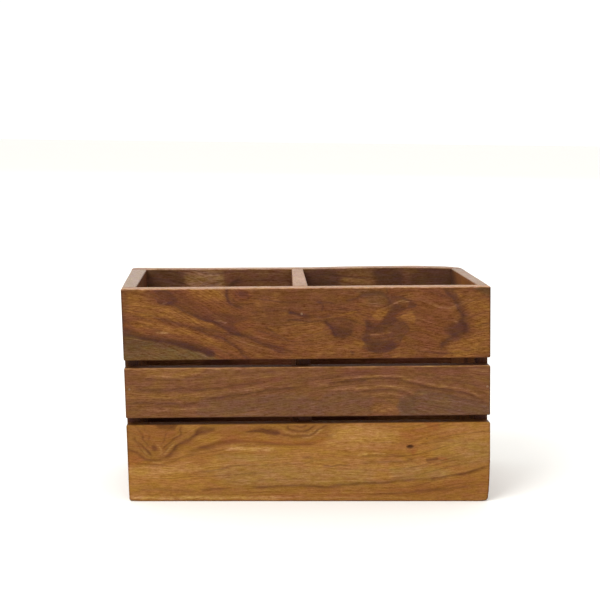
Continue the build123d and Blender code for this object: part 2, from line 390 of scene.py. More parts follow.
FRONT_MIDDLE = Figure(seed=23, leans=[Lean(-70, 10, -6)], areas=[
    Area(GOLD, [(-96, 76), (-92, 72.4), (-76, 72), (-62, 73), (-58, 77), (-76, 78)], 0.9, 0.55),
    Area(GOLD, [(-70, 75.6), (-66, 76), (-64, 73.4), (-68, 73)], 0.7, 0.5),
    Area(RED, [(-56, 66), (-40, 68.4), (-26, 71), (-16, 72), (-18, 67.4), (-32, 66.6),
        (-46, 64.4)], 1.4, 0.55),
    Area(RED, [(16, 75.6), (40, 75.4), (62, 74), (56, 72), (36, 73), (18, 72.4)], 1.2, 0.6),
    Area(OLIVE, [(-60, 58), (-44, 60), (-26, 61), (-8, 62), (4, 58), (4, 48), (-56, 48)], 1.8, 0.4),
    Area(OLIVE, [(50.6, 58), (55, 60), (58.6, 57), (58, 48), (51, 48)], 1.2, 0.75),
    Area(DARK, [(51.4, 56), (55, 57.4), (57, 53), (55, 50), (51.6, 51)], 1.0, 0.3),
    Area(OLIVE, [(60, 63), (76, 61.6), (92, 58), (104, 54), (104, 48), (60, 48)], 1.8, 0.6),
    Area(GOLD, [(34, 54.6), (42, 55.6), (49, 54.6), (48, 51.6), (40, 51), (34, 52)], 1.0, 0.5),
    Area(RED, [(62, 76.6), (96, 76.4), (94, 73), (78, 72), (64, 73.4)], 1.2, 0.5),
    Area(DARK, [(62, 77.4), (96, 77.4), (94, 74.6), (64, 74.6)], 0.9, 0.25),
    Area(GOLD, [(-102, 63.6), (-84, 63), (-66, 62.6), (-52, 63.4), (-60, 61), (-84, 59.6),
        (-102, 59.8)], 1.2, 0.4),
    Area(OLIVE, [(10, 62), (30, 61.6), (36, 56), (30, 48), (6, 48)], 1.8, 0.35),
], streaks=[
    # the long line that rises to the middle and arches over the right half
    Streak(PALE, [(-68, 60.4), (-56, 60.8), (-48, 61.8), (-40, 63.2), (-33, 64), (-25, 65.3),
        (-16, 66.8)], 0.5, 0.4, 0.2),
    Streak(DARK, [(-62, 58.2), (-52, 59.8), (-44, 61), (-36, 61.9), (-29, 63), (-22, 64.2), (-12, 65),
        (0, 66)], 0.5, 1.0, 0.6),
    # painted highlight along the board's upper arris
    Streak(PALE, [(76.0, 76.5), (104, 76.5)], 0.4, 0.4, 0.2),
    Streak(PALE, [(-104, 76.5), (-60, 76.5), (-20, 76.5)], 0.5, 0.5, 0.5),
    # the long line again
    Streak(PALE, [(14, 69), (24, 70), (33, 70.9), (41, 71.4), (48, 71), (56, 69.5),
        (64, 67.4)], 0.6, 0.4, 0.49),
    Streak(PALE, [(58, 69), (65, 67.1), (71, 65.7), (79, 64.9), (86, 63.4), (92, 61.4),
        (102, 57.3)], 0.6, 0.4, 0.41),
    Streak(DARK, [(8, 67.3), (20, 68.6), (31, 69.9), (42, 70.2), (50, 69.3),
        (58, 67.2)], 0.35, 1.2, 0.45),
    Streak(DARK, [(52, 68.9), (60, 66.7), (67, 64.8), (76, 63.7), (85, 62.2), (92, 59.8),
        (102, 55.4)], 0.35, 1.2, 0.6),
    Streak(DARK, [(17, 67.6), (25, 68.2), (34, 68.8)], 0.8, 1.2, 0.5),
    # the nested arches under it
    Streak(PALE, [(2, 66.9), (7, 67), (12, 66.8)], 0.5, 0.4, 0.34),
    Streak(PALE, [(7, 63.8), (20, 64.3), (32, 64.9), (41, 65.3), (49, 64.7), (55, 63.2),
        (59, 60.6)], 0.9, 0.6, 0.34),
    Streak(DARK, [(26, 62.2), (38, 63.3), (46, 63.2), (53, 62.2), (58, 59.8),
        (60.4, 56.6)], 0.6, 0.9, 0.34),
    Streak(PALE, [(33, 60.1), (42, 61.1), (50, 60.5), (54.4, 58.6)], 0.7, 0.5, 0.31),
    Streak(DARK, [(36, 58.5), (44, 59.1), (50, 58.2), (53.6, 55.6)], 0.5, 0.8, 0.34),
    Streak(PALE, [(39, 57.3), (44, 57.6), (48.6, 56.4)], 0.4, 0.4, 0.27),
    Streak(DARK, [(40, 56.4), (44.6, 56.9), (48.4, 55.6)], 0.4, 0.4, 0.3),
    Streak(DARK, [(54.6, 61.6), (57.6, 58.6), (59.4, 54.4), (60, 50)], 0.6, 0.8, 0.3),
    # gentle lines of the left half
    Streak(DARK, [(-98, 64.9), (-87, 64.3), (-76, 64.3), (-68, 65.4)], 0.6, 0.9, 0.42),
    Streak(DARK, [(-72, 65.2), (-60, 64.7), (-50, 65.5), (-41, 67), (-32, 68.2),
        (-22, 69.4)], 0.5, 0.9, 0.45),
    Streak(DARK, [(-102, 57.2), (-92, 57.5), (-80, 57), (-68, 56.8), (-58, 58.4)], 0.8, 0.8, 0.4),
    Streak(GOLD, [(-102, 60.2), (-86, 60.4), (-72, 59.8)], 1.1, 1.0, 0.45),
    Streak(PALE, [(-97, 53.7), (-80, 53.3), (-63, 54.2), (-49, 55)], 0.5, 0.45, 0.31),
    Streak(DARK, [(-96, 55.4), (-78, 55.2), (-64, 55.6)], 0.4, 0.5, 0.25),
    Streak(PALE, [(-93, 72.3), (-80, 72), (-66, 72.4), (-50, 73.4)], 0.5, 0.4, 0.31),
    Streak(DARK, [(-94, 71), (-78, 70.6), (-62, 71.2), (-48, 72)], 0.4, 0.8, 0.35),
    Streak(PALE, [(-38, 70.2), (-28, 71), (-18, 72.2), (-8, 73.6)], 0.4, 0.4, 0.24),
    Streak(DARK, [(-42, 73), (-30, 73.8), (-16, 74.8)], 0.5, 0.5, 0.35),
    Streak(DARK, [(-10, 69.4), (6, 71.4), (22, 73.2), (38, 74.6)], 0.4, 0.7, 0.35),
    Streak(DARK, [(-32, 57.6), (-16, 58.6), (0, 58.4), (12, 57)], 0.4, 0.8, 0.25),
    # the right end
    Streak(DARK, [(57, 73.2), (66, 71.6), (74, 69.8), (86, 67.6), (98, 64)], 0.4, 0.8, 0.35),
    Streak(DARK, [(66, 61.6), (78, 60.2), (90, 56.8), (100, 52.8)], 0.4, 0.8, 0.25),
    Streak(PALE, [(60, 61.2), (64, 61)], 0.4, 0.4, 0.27),
    Streak(PALE, [(88, 74.8), (95, 74), (102, 72.8)], 0.6, 0.6, 0.27),
    Streak(PALE, [(70, 57.6), (78, 56.4), (86, 54.6)], 0.4, 0.4, 0.17),
], swirls=[
    Swirl((46, 52), (44, 20), -13.0, 2.0),
    Swirl((44, 54), (9, 5), -4.0, 1.6),
    Swirl((-90, 50), (30, 10), -2.0, 2.0),
])

FRONT_BOTTOM = Figure(seed=37, leans=[Lean(50, 102, -8)], areas=[
    # the darker upper left and foot of the board, and the pale wood between
    Area(DARK, [(-104, 48), (-104, 30), (-96, 26), (-86, 23), (-76, 26), (-66, 33), (-56, 37),
        (-30, 38), (0, 36), (12, 41), (12, 48)], 3.0, 0.22),
    Area(DARK, [(-104, 9), (-60, 8.6), (0, 8.6), (50, 9), (80, 12), (104, 14), (104, -4),
        (-104, -4)], 2.6, 0.1),
    Area(PALE, [(-62, 20), (-46, 26), (-10, 26), (24, 24.6), (60, 22), (80, 19), (76, 13), (40, 11),
        (0, 10), (-40, 10), (-62, 14)], 3.0, 0.16),
    Area(PALE, [(12, 40), (20, 44), (34, 44), (48, 40), (46, 32), (28, 29), (10, 32)], 2.6, 0.22),
    Area(PALE, [(80, 42), (106, 42), (106, 26), (84, 24)], 3.0, 0.1),
    Area(PALE, [(-104, 20), (-84, 20.6), (-68, 23), (-62, 19), (-74, 16), (-104, 16)], 1.6, 0.25),
    Area(RED, [(-104, 32), (-98, 28), (-93, 24), (-96, 21), (-104, 21)], 1.4, 0.5),
    Area(RED, [(-96, 40), (-89, 33), (-83, 30), (-77, 36), (-74, 44), (-84, 46)], 2.0, 0.35),
    Area(DARK, [(-88.8, 31.6), (-88.2, 33.2), (-87, 32.6), (-86.4, 30.8), (-87, 29.6),
        (-88.2, 29.8)], 0.7, 0.55),
    Area(DARK, [(-85, 46), (-83.6, 42.6), (-78, 41.2), (-74.4, 42.4), (-73, 46)], 0.9, 0.55),
    Area(GOLD, [(-69, 45), (-68.6, 41.4), (-65, 41), (-61.6, 43.4), (-61, 46)], 0.9, 0.6),
    Area(GOLD, [(-66, 38), (-58, 34.6), (-50, 36.4), (-52, 39.6), (-60, 39.4)], 1.0, 0.3),
    Area(RED, [(-54, 40), (-46, 41.6), (-38, 40), (-40, 36.8), (-48, 36.6)], 1.2, 0.35),
    # two dark flecks over the shoulder of the knot and the dark patch by the eye
    Area(DARK, [(-63.6, 39.4), (-60, 42.6), (-53, 43.6), (-53.6, 41), (-59, 39.2)], 1.1, 0.5),
    Area(DARK, [(-63, 31), (-57, 33), (-52.4, 33.6), (-52, 31.6), (-57, 30.2)], 0.7, 0.4),
    Area(DARK, [(-36, 40.6), (-30, 42.4), (-22, 42.2), (-17, 40.6), (-17, 38.8),
        (-26, 39.6)], 0.7, 0.72),
    Area(OLIVE, [(-50, 19), (-20, 21), (10, 18), (34, 18), (30, 10), (0, 9), (-44, 9)], 2.6, 0.4),
    Area(OLIVE, [(46, 19), (66, 20), (80, 17), (72, 13.6), (50, 12.4)], 1.6, 0.5),
    Area(OLIVE, [(74, 34), (100, 33), (102, 22), (84, 20), (70, 24)], 2.4, 0.4),
    Area(OLIVE, [(-50, 28), (-30, 27), (-16, 25), (-30, 23), (-50, 24)], 1.6, 0.35),
    Area(GOLD, [(-104, 18), (-70, 16), (-58, 9), (-76, 3), (-104, 3)], 2.4, 0.4),
    Area(GOLD, [(14, 42), (34, 41), (44, 36), (30, 33.6), (16, 36)], 2.2, 0.45),
    Area(GOLD, [(-10, 31.6), (10, 30.6), (18, 27), (0, 25.6), (-16, 28)], 1.6, 0.35),
    Area(GOLD, [(62, 34), (80, 33), (92, 29), (76, 25.6), (60, 28)], 2.2, 0.35),
    Area(RED, [(52, 41), (66, 41), (68, 37), (56, 35.4), (50, 38)], 1.6, 0.4),
    Area(RED, [(66, 46), (71.6, 45), (72.4, 41.4), (68.4, 40.6), (65.6, 43)], 1.0, 0.7),
    Area(RED, [(40, 8), (70, 11), (102, 15), (102, 4), (70, 2), (40, 2)], 2.2, 0.2),
    # the pin knot
    Area(DARK, [(54.3, 31), (55.6, 32.1), (57.4, 31.8), (58, 30.8), (56.6, 30.1),
        (55, 30.2)], 0.6, 0.9),
    Area(OLIVE, [(54.4, 31), (56, 31.8), (57.6, 31), (56, 30.2)], 0.4, 1.0),
    Area(RED, [(57.4, 29), (59.8, 29.4), (60.2, 26.4), (58.4, 25.8)], 0.7, 0.7),
], streaks=[
    # nested points at the left end, opening upwards
    Streak(DARK, [(-104, 32.4), (-98, 28.9), (-94.4, 26.2), (-91, 24.4), (-86.4, 24),
        (-82.6, 24.9)], 0.6, 1.0, 0.57),
    Streak(DARK, [(-86, 24), (-81, 26.4), (-77.6, 29.4), (-74, 32.2), (-70, 34.8), (-66.6, 37.2),
        (-63, 39.8), (-60, 42.4), (-56, 45)], 0.9, 1.4, 0.64),
    Streak(DARK, [(-84.6, 27), (-81.6, 29.2), (-78.4, 32), (-75.4, 34.4)], 0.35, 0.4, 0.45),
    Streak(DARK, [(-98.4, 38), (-96, 34.6), (-93, 31.6), (-90, 29), (-88.2, 26.4)], 0.4, 0.8, 0.63),
    Streak(DARK, [(-84, 30.4), (-80.4, 32.8), (-77, 35.4), (-74, 37.8), (-71.4, 40.6),
        (-70, 45)], 0.4, 0.7, 0.6),
    Streak(DARK, [(-96.6, 46), (-94.6, 40.4), (-92, 35.4), (-89.6, 31.6)], 0.4, 0.6, 0.45),
    Streak(DARK, [(-92.4, 46), (-91, 40.4), (-89.4, 35.4)], 0.4, 0.5, 0.36),
    Streak(DARK, [(-78.6, 41), (-81.4, 36.6), (-84.4, 33)], 0.4, 0.5, 0.45),
    Streak(DARK, [(-98, 34.6), (-95, 30.4), (-91.4, 27.4), (-87.4, 26)], 0.4, 0.5, 0.4),
    Streak(PALE, [(-86.6, 34), (-85, 31.6), (-84, 29), (-85.4, 26.6)], 0.4, 0.4, 0.3),
    Streak(PALE, [(-94, 30), (-91, 27.6), (-88.6, 25.6)], 0.4, 0.5, 0.21),
    Streak(PALE, [(-84.6, 26.6), (-81.6, 28.8), (-78, 31.6), (-75, 34)], 0.5, 0.6, 0.24),
    Streak(PALE, [(-88, 22.6), (-84.6, 22.2), (-81.6, 24)], 0.5, 0.5, 0.21),
    Streak(DARK, [(-99, 22.4), (-92, 21.4), (-86, 20.9), (-80, 22)], 0.4, 0.8, 0.4),
    Streak(DARK, [(-82, 22.6), (-76, 24), (-70, 26.6), (-63, 27.4)], 0.5, 0.9, 0.34),
    # the shoulder line that runs off to the right
    Streak(DARK, [(-71, 27.6), (-63, 30.6), (-57, 32), (-51, 34), (-43, 34.8),
        (-32, 34.6)], 1.3, 1.9, 0.45),
    Streak(DARK, [(-40, 34.8), (-28, 34.3), (-18, 33.2), (-10, 32.7), (-2, 33),
        (6, 34.6)], 0.8, 0.9, 0.39),
    Streak(RED, [(-56, 33), (-40, 35), (-24, 34.4), (-10, 33.2), (2, 34), (12, 37.4)], 1.3, 1.2, 0.6),
    Streak(PALE, [(-48, 30.4), (-38, 30.5), (-28, 30.2), (-18, 29.8)], 0.9, 0.9, 0.6),
    # the half round eye under the upper edge
    Streak(DARK, [(8, 36.4), (12.4, 38.4), (16, 40.4)], 0.9, 0.9, 0.3),
    Streak(DARK, [(-18, 40), (-12, 38.3), (-7, 37.7), (-2, 38.2), (3, 40.2), (7, 42.6),
        (9, 45)], 0.45, 0.9, 0.58),
    Streak(PALE, [(-6, 36.6), (0, 37.2), (5, 39.6), (9, 42.4)], 0.5, 0.5, 0.3),
    Streak(DARK, [(-13.6, 45), (-10.4, 41.8), (-6.6, 40.4), (-2.6, 40.5), (0.8, 42),
        (4, 45)], 0.4, 0.6, 0.74),
    Streak(DARK, [(-9.4, 44.6), (-5, 43), (-0.6, 44.6)], 0.4, 0.5, 0.57),
    Streak(PALE, [(-16, 43), (-12, 39.9), (-6.4, 38.6), (0, 39.4), (5.6, 42.4)], 0.6, 0.6, 0.24),
    # long lines low on the board
    Streak(DARK, [(-37, 8.4), (-27, 8), (-18, 8.3), (-8, 8.8), (0, 8.6), (8, 8.1),
        (20, 8.8)], 0.6, 0.9, 0.66),
    Streak(DARK, [(10, 8.5), (24, 9.8), (34, 10.5), (46, 11), (56, 11.8), (68, 12.7)], 1.1, 0.9, 0.7),
    Streak(DARK, [(62, 12.2), (71, 12.8), (78, 14.4), (86, 15.4), (94, 17.2),
        (104, 20)], 0.6, 0.9, 0.74),
    Streak(DARK, [(28, 3.4), (42, 4), (54, 5), (66, 6.2), (80, 7.4), (102, 10.2)], 0.5, 1.0, 0.46),
    Streak(DARK, [(-63, 6.4), (-54, 6.7), (-44, 7.3)], 0.3, 0.45, 0.5),
    Streak(DARK, [(-100, 6.4), (-80, 6.6), (-64, 5.4)], 0.6, 0.9, 0.29),
    Streak(DARK, [(-64, 17.2), (-55, 18.1), (-48, 19.4), (-40, 20.5), (-28, 21)], 0.35, 0.6, 0.6),
    Streak(DARK, [(-34, 20.8), (-20, 21.4), (-6, 22), (4, 23.2), (14, 23.2)], 0.4, 0.6, 0.34),
    Streak(DARK, [(-5, 24.8), (0, 25), (3, 24)], 0.7, 0.6, 0.4),
    Streak(DARK, [(-48, 12.8), (-38, 15.4), (-30, 16.4)], 0.4, 0.5, 0.32),
    Streak(DARK, [(6.6, 20.2), (10, 20.1), (13, 19.6), (16, 20.4), (20, 20.4),
        (25, 20.9)], 0.35, 0.45, 0.74),
    Streak(DARK, [(26, 21.4), (38, 22.4), (50, 22.1), (64, 22.8)], 0.8, 0.9, 0.45),
    Streak(RED, [(40, 20), (48, 20.2), (57, 20)], 0.6, 0.7, 0.5),
    Streak(DARK, [(65.6, 22.8), (68.6, 23.4), (72, 24.6)], 0.9, 0.8, 0.62),
    Streak(RED, [(70, 24.2), (75, 24.4), (79, 23.6)], 0.8, 0.7, 0.7),
    Streak(DARK, [(53.6, 23.5), (58.4, 23.6)], 0.35, 0.35, 0.57),
    Streak(PALE, [(59, 23.4), (62.6, 23.3)], 0.35, 0.35, 0.3),
    Streak(PALE, [(26, 26.7), (30, 27.2), (33, 27)], 0.4, 0.45, 0.6),
    Streak(PALE, [(34, 27.3), (38, 27.3), (43, 27)], 0.35, 0.4, 0.5),
    Streak(DARK, [(28, 25.9), (40, 26.7), (47, 26.4), (56, 26.2)], 0.35, 0.45, 0.46),
    Streak(PALE, [(40, 31.8), (42, 31.2)], 0.5, 0.5, 0.24),
    Streak(PALE, [(44, 34), (46.6, 33.4)], 0.4, 0.4, 0.24),
    Streak(DARK, [(65.4, 35.4), (66.6, 35.5)], 0.5, 0.5, 0.69),
    Streak(DARK, [(60, 32), (70, 33.4), (76, 34.6), (82, 34.8)], 0.4, 0.5, 0.34),
    Streak(DARK, [(90, 29), (95, 28), (100, 27.4)], 0.4, 0.4, 0.4),
    # paler along the lower edge
    Streak(PALE, [(-114, 1.7), (-70, 1.7), (-40, 1.5), (-10, 1.5)], 0.8, 0.7, 0.6),
    Streak(PALE, [(-30, 1.5), (10, 1.5), (34, 1.8), (62, 1.5)], 0.8, 0.7, 0.22),
    Streak(RED, [(-44, 2.6), (-6, 2), (20, 2.2), (52, 1.8)], 0.7, 0.7, 0.5),
    Streak(PALE, [(-95, 13.8), (-84, 13.4), (-74, 13.6)], 0.35, 0.35, 0.24),
], swirls=[
    Swirl((-85, 47), (20, 22), 24.0, 1.2),
    Swirl((-3, 50), (17, 11), 12.0, 1.6),
    Swirl((56, 31), (9, 5), 2.0, 1.6),
    Swirl((-40, 46), (24, 14), -5.0, 2.0),
])

# The back wall's upper board, whose inner face shows over the front of the box. Its gold areas are the
# wood's figure made brighter as painted light, and its dark areas are painted shade inside the box.
BACK_TOP = Figure(seed=41, leans=[Lean(-100, 100, 8)], areas=[
    # the gold fan of the figure, brightened as painted light, with a pale painted light over it
    Area(GOLD, [(-68, 121), (-66, 108), (-58, 102), (-48, 106), (-46, 114), (-50, 122)], 2.4, 0.75),
    Area(PALE, [(-68, 121), (-66, 108), (-58, 102), (-48, 106), (-46, 114), (-50, 122)], 3.0, 0.3),
    # the dark areas here and below are painted shade inside the box
    Area(DARK, [(-102, 122), (-102, 100), (-74, 100), (-70, 110), (-74, 122)], 2.4, 0.5),
    Area(RED, [(-46, 122), (-46, 108), (-30, 104), (-28, 122)], 2.4, 0.6),
    Area(DARK, [(-1, 122), (-1, 100), (20, 100), (24, 110), (22, 122)], 2.4, 0.5),
    Area(GOLD, [(24, 110), (30, 118), (42, 119), (48, 110), (40, 102), (28, 104)], 3.0, 0.6),
    Area(DARK, [(47, 122), (50, 104), (60, 100), (66, 108), (62, 122)], 2.4, 0.6),
    Area(DARK, [(72, 122), (70, 100), (102, 100), (102, 122)], 3.0, 0.5),
], streaks=[
    Streak(GOLD, [(-66, 107), (-62, 112), (-57, 116), (-50, 118)], 1.0, 1.0, 0.7),
    Streak(GOLD, [(-62, 105), (-57, 110), (-52, 113.6), (-47, 115)], 0.8, 0.8, 0.7),
    Streak(DARK, [(-60, 106), (-56, 111), (-51.5, 114.6), (-46, 116.4)], 0.5, 0.6, 0.6),
    Streak(DARK, [(-64, 105), (-60, 111), (-55, 116.6), (-48, 119.6)], 0.5, 0.6, 0.5),
    Streak(DARK, [(-46, 104), (-44, 110), (-40, 115), (-34, 118)], 1.2, 1.6, 0.6),
    Streak(DARK, [(2, 118), (22, 114), (44, 112), (60, 108)], 1.2, 2.0, 0.4),
], swirls=[
    Swirl((-55, 108), (14, 12), 9.0, 1.6),
    Swirl((36, 100), (30, 14), 6.0, 2.0),
])


# Streaks of a free figure: their least number and the mm of the board's width for one more,
# how far they may start before the board, their length as a share of it, and the rest
FREE_STREAKS = 9
WIDTH_FOR_STREAK = 5
START_BEFORE = 20
STREAK_LENGTH = (0.2, 0.8)
STREAK_POINTS = 5
STREAK_BEND = 0.035  # how much one bends at each point, as a share of the board's width
STREAK_TONES = [DARK, DARK, DARK, PALE, RED]
STREAK_WIDTH = (0.4, 1.1)
STREAK_BELOW = 1.6  # its width below its line, against the one above
STREAK_STRENGTH = (0.3, 0.7)
PALE_SHARE = 0.35  # how strong a pale one is, against the rest

# Its patches and swirls
FREE_AREAS = 5
SURFACE_FOR_AREA = 1600  # square mm of the board for one more
AREA_TONES = [DARK, GOLD, RED, OLIVE]
AREA_LENGTH, AREA_WIDTH = (10, 30), (3, 8)
AREA_TURN = (-0.2, 0.2)
AREA_SOFT = (1.2, 3)
AREA_STRENGTH = (0.3, 0.6)
FREE_SWIRLS = 2
SWIRL_LENGTH, SWIRL_WIDTH = (14, 34), (8, 18)
SWIRL_LIFT = (-12, 12)
SWIRL_POWER = 1.8
FREE_LEAN = (-8, 8)


def free_figure(seed, low, high):
    """A figure of its own for a board the photograph doesn't show, within its face."""
    draw = np.random.default_rng(seed)
    size = np.array(high) - np.array(low)
    streaks, areas, swirls = [], [], []
    for _ in range(int(FREE_STREAKS + size[1] / WIDTH_FOR_STREAK)):
        height = draw.uniform(low[1], high[1])
        start = draw.uniform(low[0] - START_BEFORE, high[0] - START_BEFORE)
        length = draw.uniform(*STREAK_LENGTH) * size[0]
        bends = np.cumsum(draw.normal(0, STREAK_BEND * size[1], STREAK_POINTS))
        steps = length * np.arange(STREAK_POINTS) / (STREAK_POINTS - 1)
        path = np.stack([start + steps, height + bends], axis=1)
        tone = draw.choice(STREAK_TONES)
        width = draw.uniform(*STREAK_WIDTH)
        strength = draw.uniform(*STREAK_STRENGTH) * (PALE_SHARE if tone == PALE else 1.0)
        streaks.append(Streak(tone, path, width, width * STREAK_BELOW, strength))
    for _ in range(int(FREE_AREAS + size[0] * size[1] / SURFACE_FOR_AREA)):
        place = draw.uniform(low, high)
        extent = (draw.uniform(*AREA_LENGTH), draw.uniform(*AREA_WIDTH))
        tone = draw.choice(AREA_TONES)
        outline = oval(place, extent, draw.uniform(*AREA_TURN))
        areas.append(Area(tone, outline, draw.uniform(*AREA_SOFT), draw.uniform(*AREA_STRENGTH)))
    for _ in range(FREE_SWIRLS):
        place = draw.uniform(low, high)
        extent = (draw.uniform(*SWIRL_LENGTH), draw.uniform(*SWIRL_WIDTH))
        swirls.append(Swirl(place, extent, draw.uniform(*SWIRL_LIFT), SWIRL_POWER))
    lean = Lean(low[0], high[0], draw.uniform(*FREE_LEAN))
    return Figure(areas, streaks, swirls, [lean], seed)


# ---------------------------------------------------------------- board meshes

EASE = 0.75  # radius of the hand-sanded edges
EASE_ANGLES = (0, 15, 30, 45)  # degrees round an eased edge where the mesh has lines
PIT_LINES = (-1.05, -0.8, -0.55, -0.3, 0.0, 0.3, 0.55, 0.8, 1.05)  # mm from a pit's middle
LINE_GAPS = (0.1, 0.05)  # least gaps that lines leave, from a pit's lines and from an edge's


def mesh_lines(low, high, step, pits):
    """Places along one side of a board where its mesh is divided, closer at edges and pits."""
    edge = np.array([EASE * (1.0 - math.tan(math.radians(a))) for a in reversed(EASE_ANGLES)])
    count = max(1, round((high - low - 2 * EASE) / step))
    inner = [
        place
        for place in np.linspace(low + EASE, high - EASE, count + 1)[1:-1]
        if all(abs(place - pit) > PIT_LINES[-1] + LINE_GAPS[0] for pit in pits)
    ]
    for pit in sorted(set(round(pit, 2) for pit in pits)):
        inner += [pit + offset for offset in PIT_LINES]
    first, last = low + EASE + LINE_GAPS[1], high - EASE - LINE_GAPS[1]
    inner = [place for place in sorted(inner) if first < place < last]
    return np.concatenate([low + edge, inner, high - edge[::-1]])


def skin(xs, ys, zs):
    """The vertices and outward faces of a box divided at the given places."""
    shape = (len(xs), len(ys), len(zs))
    outside = np.zeros(shape, bool)
    for axis, end in itertools.product(range(3), (0, -1)):
        outside[(slice(None),) * axis + (end,)] = True
    number = np.full(shape, -1)
    number[outside] = np.arange(outside.sum())
    points = np.stack(np.meshgrid(xs, ys, zs, indexing="ij"), axis=-1)[outside]
    faces = []
    for axis, end in itertools.product(range(3), (0, -1)):
        side = np.take(number, end, axis)
        quads = np.stack([side[:-1, :-1], side[1:, :-1], side[1:, 1:], side[:-1, 1:]], -1)
        quads = quads.reshape(-1, 4)
        faces.append(quads[:, ::-1] if (axis == 1) != (end == 0) else quads)
    return points, np.vstack(faces)


# Corners of the box that are knocked rounder than the rest, and how much is added to the radius
ROUNDED = {
    "back_top_board": [((-101.5, 44.5, 121.0), 0.8), ((101.5, 44.5, 121.0), 1.6)],
    "front_bottom_board": [((-101.5, -44.5, 0.0), 0.8), ((101.5, -44.5, 0.0), 1.5)],
}
ROUNDED_REACH = 7.0

EASE_BROAD = Wander(0.28, (17.0, 17.0, 17.0))
EASE_FINE = Wander(0.14, (3.5, 3.5, 3.5))

# Faces are planed down by this much, more or less
PLANED = 0.055
PLANED_BROAD = Wander(0.02, (30.0, 30.0, 18.0))
PLANED_FINE = Wander(0.012, (7.0, 7.0, 5.0))


def eased(points, low, high, board):
    """The box's points with its edges rounded by hand: the radius wanders along them."""
    seed = board.figure.seed
    share = 1.0 + wandering(points, EASE_BROAD, seed + 7)
    share += wandering(points, EASE_FINE, seed + 8)
    radius = (EASE * share)[:, None]
    for corner, more in ROUNDED.get(board.node, []):
        distance = np.linalg.norm(points - corner, axis=1, keepdims=True)
        radius += more * smooth(1.0 - distance / ROUNDED_REACH)
    core = np.clip(points, low + radius, high - radius)
    out = points - core
    length = np.linalg.norm(out, axis=1, keepdims=True)
    return core + out * radius / np.maximum(length, 1e-9)


def uneven(points, low, high, seed):
    """Faces planed a little uneven, always inside the board's size."""
    inner = (points - low) / (high - low) * 2.0 - 1.0
    rise = wandering(points, PLANED_BROAD, seed + 9)
    rise += wandering(points, PLANED_FINE, seed + 10)
    return points - inner * (PLANED + rise)[:, None]


# The box isn't quite square: what follows sets it right. Lengths are in mm.
HALF_LENGTH = 101.5
HALF_HEIGHT = 60.5
DEPTH = 89.0
LOWEST_BOARD = 45.0
LEAN = 0.033  # to the left, for each mm of height
BACK_SKEW = 1.0  # how far the back stands to the left of the front
BACK_SHORTER = 1.1  # how much the back is shorter at its right end
CLIMB = 1.06  # how far the lowest board's upper edge climbs to the right, from the middle
TALLER = 0.004  # how much taller the box is at its right end, as a share of the height
BACK_BENDS = (-101.5, -63.0, 8.0, 28.0, 46.0, 72.0, 90.0, 101.5)  # places along the back's rim
BACK_RAISED = (0.45, 0.15, 0.02, 0.3, 0.48, 0.5, 0.0, -0.75)  # how high it stands there

# Heights of the boards' edges as they are built, and as the photograph shows them
EDGES_BUILT = (0.0, 45.0, 49.0, 76.5, 81.0, 121.0)
EDGES_SEEN = (0.0, 44.75, 48.65, 77.0, 81.25, 121.15)

# How far each upright's left face, then its right one, stands to the right at the rim: in mm, at
# the front and at the back
UPRIGHT_SET = {
    "centre_divider": ((-1.9, 1.8), (-0.95, 0.7)),
    "left_end_panel": ((0.0, 0.0), (0.2, 1.9)),
    "right_end_panel": ((1.8, -0.3), (0.0, 0.0)),
}
SET_FROM = 55.0  # height where the uprights start to part from their place

# The right end of the lowest front board is worn back towards the table
END_WORN_BACK = 1.0
END_WORN_BELOW = 24.0
END_WORN_SIDE = 0.9  # where it starts, as a share of half the length


def settled(points, node):
    """The points of a board as it stands in the box."""
    x, y, z = points.T
    behind = y / DEPTH + 0.5
    side = x / HALF_LENGTH
    push = -LEAN * (z - HALF_HEIGHT)
    push -= behind * (BACK_SKEW + BACK_SHORTER * np.maximum(side, 0.0))
    if node in UPRIGHT_SET:
        left, right = UPRIGHT_SET[node]
        share = (x - x.min()) / (x.max() - x.min())
        front, back = ((1 - share) * left[i] + share * right[i] for i in range(2))
        raised = np.clip((z - SET_FROM) / (RIM - SET_FROM), 0.0, 1.0)
        push += (front + (back - front) * behind) * raised
    if node == "front_bottom_board":
        near_table = np.clip(1.0 - z / END_WORN_BELOW, 0.0, 1.0) ** 1.5
        near_end = np.clip((side - END_WORN_SIDE) / (1.0 - END_WORN_SIDE), 0.0, 1.0)
        push -= END_WORN_BACK * near_table * near_end
    lift = np.interp(z, EDGES_BUILT, EDGES_SEEN) - np.clip(z, EDGES_BUILT[0], EDGES_BUILT[-1])
    lift += TALLER * side * z + CLIMB * side * np.clip(z / LOWEST_BOARD, 0.0, 1.0)
    lift += np.interp(x, BACK_BENDS, BACK_RAISED) * behind * z / RIM
    return points + np.stack([push, np.zeros(len(points)), lift], axis=1)


Pit = namedtuple("Pit", "at axis radius depth")

BRAD_PIT_RADIUS = 0.62
BRAD_PIT_DEPTH = 0.18
PIN_KNOT = Pit((56.0, -44.5, 31.4), 1, (1.45, 0.8), 1.3)

# Brads of the front boards whose heads show, from the left; the rest are filled flush
SHOWN_BRADS = {"front_top_board": (1,), "front_middle_board": (0, 2), "front_bottom_board": ()}

HEAD_FACE = 0.01  # points this near a brad's outer end belong to its head
HEADS_APART = 3.0  # points further apart than this belong to two brads

PIT_EDGE = (1.0, 1.35)  # a pit is full depth at the first share of its radius, none at the second
PIT_FACE = 0.3  # points further into the board than this stay where they are


def brad_heads(node):
    """The middle of each brad's head in a node of brads, from the left or the front, and the
    axis that they are driven along."""
    points = np.array([vertex.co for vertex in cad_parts[node].data.vertices]) / MM
    axis = 0 if "end" in node else 1
    depth = np.abs(points[:, axis])
    outer = points[depth > depth.max() - HEAD_FACE]
    heads = []
    for point in outer[np.argsort(outer[:, 1 - axis], kind="stable")]:
        if not heads or np.linalg.norm(heads[-1][0] - point) > HEADS_APART:
            heads.append([])
        heads[-1].append(point)
    return [(np.min(head, axis=0) + np.max(head, axis=0)) / 2 for head in heads], axis


